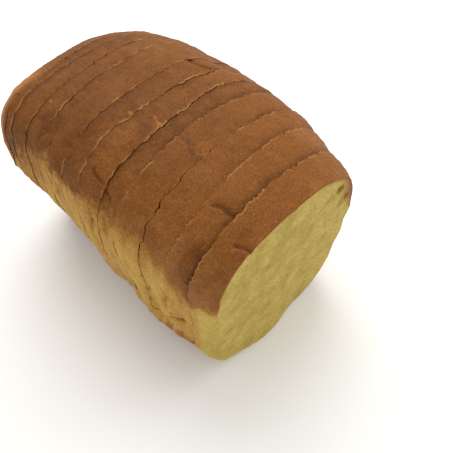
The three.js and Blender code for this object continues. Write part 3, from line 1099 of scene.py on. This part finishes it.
def buildBread(name):
    # crust outside and crumb on the cut faces, told apart by how far in from the rim a point lies
    material = bpy.data.materials.new(name)
    material.use_nodes = True
    tree = material.node_tree
    shader = tree.nodes["Principled BSDF"]
    place = addNode(tree, "ShaderNodeTexCoord").outputs["Object"]
    bake, inside, rimDepth = (attribute(tree, key) for key in ("bake", "inside", "rimDepth"))
    crust = addNode(tree, "ShaderNodeGroup", {"node_tree": crustGroup}, Place=place, Bake=bake,
                    Tone=attribute(tree, "tone"), Lip=attribute(tree, "lip"))
    crumb = addNode(tree, "ShaderNodeGroup", {"node_tree": crumbGroup}, Place=place,
                    Pit=attribute(tree, "pit"))
    # crust turns to crumb a little way in from the rim, further in where it is browner
    uneven = noiseNode(tree, place, 1.4, 3.0)
    ragged = mathNode(tree, "MULTIPLY", mathNode(tree, "SUBTRACT", uneven, 0.5), 1.2)
    thick = ramp(tree, bake, 0.1, 0.7, bread["paleDepth"], 1.0)
    depth = mathNode(tree, "ADD", mathNode(tree, "DIVIDE", rimDepth, thick), ragged)
    isCrumb = ramp(tree, depth, bread["crustDepth"] * 0.6, bread["crustDepth"] * 1.8)
    isCrumb = mathNode(tree, "MAXIMUM", isCrumb, ramp(tree, bake, -0.4, 0.0, 0.75, 0.0))
    # the rim of the shown face is tan, and the crust inside a cut gets painted shade
    shownRim = ramp(tree, inside, 0.3, 0.7, bread["rimTan"], 0.0)
    nearRim = mathNode(tree, "MULTIPLY", ramp(tree, rimDepth, 0.05, 0.6), shownRim)
    rimmed = mixColours(tree, nearRim, crust.outputs["Color"], crustLook["rim"])
    # painted shade inside a cut, strongest near its rim
    cutShade = mathNode(tree, "MULTIPLY", inside, ramp(tree, rimDepth, 0.4, 1.2, 0.8, 0.3))
    rimmed = mixColours(tree, cutShade, rimmed, crustLook["gapShade"])
    colour = mixColours(tree, isCrumb, rimmed, crumb.outputs["Color"])
    height = mixNumbers(tree, isCrumb, crust.outputs["Height"], crumb.outputs["Height"])
    bump = addNode(tree, "ShaderNodeBump", Strength=bread["bumpStrength"],
                   Distance=bread["bumpDepth"] * mm, Height=height)
    feed(tree, shader.inputs["Base Color"], colour)
    feed(tree, shader.inputs["Roughness"], mixNumbers(tree, isCrumb, crust.outputs["Roughness"], 0.85))
    feed(tree, shader.inputs["Normal"], bump.outputs[0])
    shader.inputs["Specular IOR Level"].default_value = bread["specular"]
    return material


sliceBread = buildBread("sliceBread")
heelBread = buildBread("heelBread")
print("materials built")


def addPiece(mesh, node, material):
    # the mesh stands in for its CAD node and rides on the loaf's one body
    piece = bpy.data.objects.new("loaf_" + node, mesh)
    mesh.materials.append(material)
    bpy.context.collection.objects.link(piece)
    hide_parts(node)
    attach(piece, "root")
    return piece


for index, name in enumerate(sliceNames):
    addPiece(buildSlice(index), name, sliceBread)
print("slices built")


# the rear heel
heel = {
    "columns": 760,
    "rimRows": 36,           # rows round its rounded rim
    "endRings": 40,          # rings of its end face
    "edgeRounding": 9.0,     # how far the end face is drawn in from the sides and the crown
    "baseRounding": 5.0,     # and up from the base
    "bulge": 1.5,            # how far its middle stands out
    "endBake": 0.6,          # how brown it is
}


def heelRows():
    # the rows of the heel from front to rear: rings of its cut face, the rounded edge there, the rounded
    # rim, and rings of its end face. Turn goes from 0 on the crust to a right angle on the end face, and
    # radius, drop and back are as in sliceRows.
    bend = np.linspace(0, math.pi / 2, sliceMesh["bendRows"])
    face = faceRadii()
    rim = np.linspace(0, math.pi / 2, heel["rimRows"])[1:]
    end = np.linspace(1, 0, heel["endRings"] + 1)[1:-1]
    nFace, nBend, nRim, nEnd = len(face), len(bend), len(rim), len(end)
    return {
        "turn": column(np.zeros(nFace + nBend), rim, np.full(nEnd, math.pi / 2)),
        "radius": column(face, np.ones(nBend + nRim), end),
        "drop": column(np.ones(nFace), 1 - np.sin(bend), np.zeros(nRim + nEnd)),
        "back": column(np.zeros(nFace), 1 - np.cos(bend), np.ones(nRim + nEnd)),
    }


def heelCrust(place, rows, number):
    # from the last cut the outline is drawn in along a quarter circle, and moved out or in by the relief
    # and the step at the cut. Gives the surface, and the line and rounding of its front edge.
    low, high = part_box("rear_heel")
    tilt = np.sin(rows["turn"])
    drawnIn = 1 - np.cos(rows["turn"])
    edge, edgeRound, step = frontEdge(number - 1, place, low.y / mm)
    start = edge + edgeRound * rows["back"]
    y = start + (high.y / mm - heel["bulge"] - start) * tilt
    along = np.clip((y - frontY) / loafLength, 0, 1)
    x, z = sectionPoints(place[None, :], along, 0.0, heel["edgeRounding"] * drawnIn,
                         heel["baseRounding"] * drawnIn)
    x = x + (low.x + high.x) / 2 / mm - (x.min() + x.max()) / 2
    nx, nz = outwardNormal(x, z)
    lips = step / 2 * np.exp(-(y - edge) / cuts["stepReach"])
    swell = rearSwell(place[None, :], y) * (1 - tilt)
    relief = crustHeight(np.stack([x, y, z], -1), number)
    rise = relief * (1 - tilt) + lips + swell - edgeRound * rows["drop"]
    return x + nx * rise, y, np.maximum(z + nz * rise, 0.0), edge, edgeRound


def buildHeel():
    # the mesh of the heel, its cut face and its end face drawn in to their middles, with what its material
    # reads at each point
    number = len(sliceNames) + 1
    place = outlinePlaces(heel["columns"])
    rows = heelRows()
    radius, turn = rows["radius"], rows["turn"]
    tilt = np.sin(turn)                            # 0 where the crust faces sideways, 1 on the end face
    x, y, z, edge, edgeRound = heelCrust(place, rows, number)
    centreX, centreZ = x[-1].mean(), sliceMesh["faceMiddle"]
    rim = np.hypot(x - centreX, z - centreZ)
    x = centreX + (x - centreX) * radius
    z = centreZ + (z - centreZ) * radius
    isEnd = (turn > 1.5) & (radius < 1)
    isFace = (radius < 1) & ~isEnd
    flat = edge.mean()
    recess = sliceMesh["hiddenRecess"] * easeStep(rim * (1 - radius), 0.0, 2.0)
    y = np.where(isFace, flat + (y - flat) * radius ** 3 + recess, y)
    y = np.where(isEnd, y + heel["bulge"] * (1 - radius ** 2), y)
    # the end face's own relief stands along the loaf
    y = y + np.where(isFace, 0, crustHeight(np.stack([x, y, z], -1), number) * tilt)
    points = np.stack([x, y, z], -1)
    mesh = meshFromGrid("rear_heel", points, points[0].mean(0), points[-1].mean(0))

    depth = np.where(isFace, (rim * (1 - radius) + edgeRound) * sliceMesh["hiddenBrowning"], 0.0)
    inside = 1.0 * (rows["drop"] > 0.6)
    bake = bakeAmount(points, number)
    bake = bake + (heel["endBake"] * (0.8 + 0.4 * easeStep(z, 20, 90)) - bake) * tilt
    # painted shade inside the cut at the heel's front edge
    bake = np.where(inside > 0, np.maximum(bake, sliceMesh["insideBake"]), bake)
    tone = np.where(inside > 0, sliceMesh["insideShade"], toneAmount(points, number))
    # pale torn lip at the last cut, with a painted highlight where it stands proud
    lip = lipPaleness(place, 2 * number, netStep(number - 1, place))
    lip = lip * np.exp(-((y - edge) / cuts["rearLipReach"]) ** 2)
    addAttribute(mesh, "bake", bake, 0.0, heel["endBake"])
    addAttribute(mesh, "tone", tone, 0.0, 0.0)
    addAttribute(mesh, "inside", inside + x * 0, 1.0, 0.0)
    addAttribute(mesh, "rimDepth", depth, sliceMesh["middleDepth"], 0.0)
    addAttribute(mesh, "lip", lip, 0.0, 0.0)
    addAttribute(mesh, "pit", x * 0, 0.0, 0.0)
    return mesh


addPiece(buildHeel(), "rear_heel", heelBread)
print("heel built")
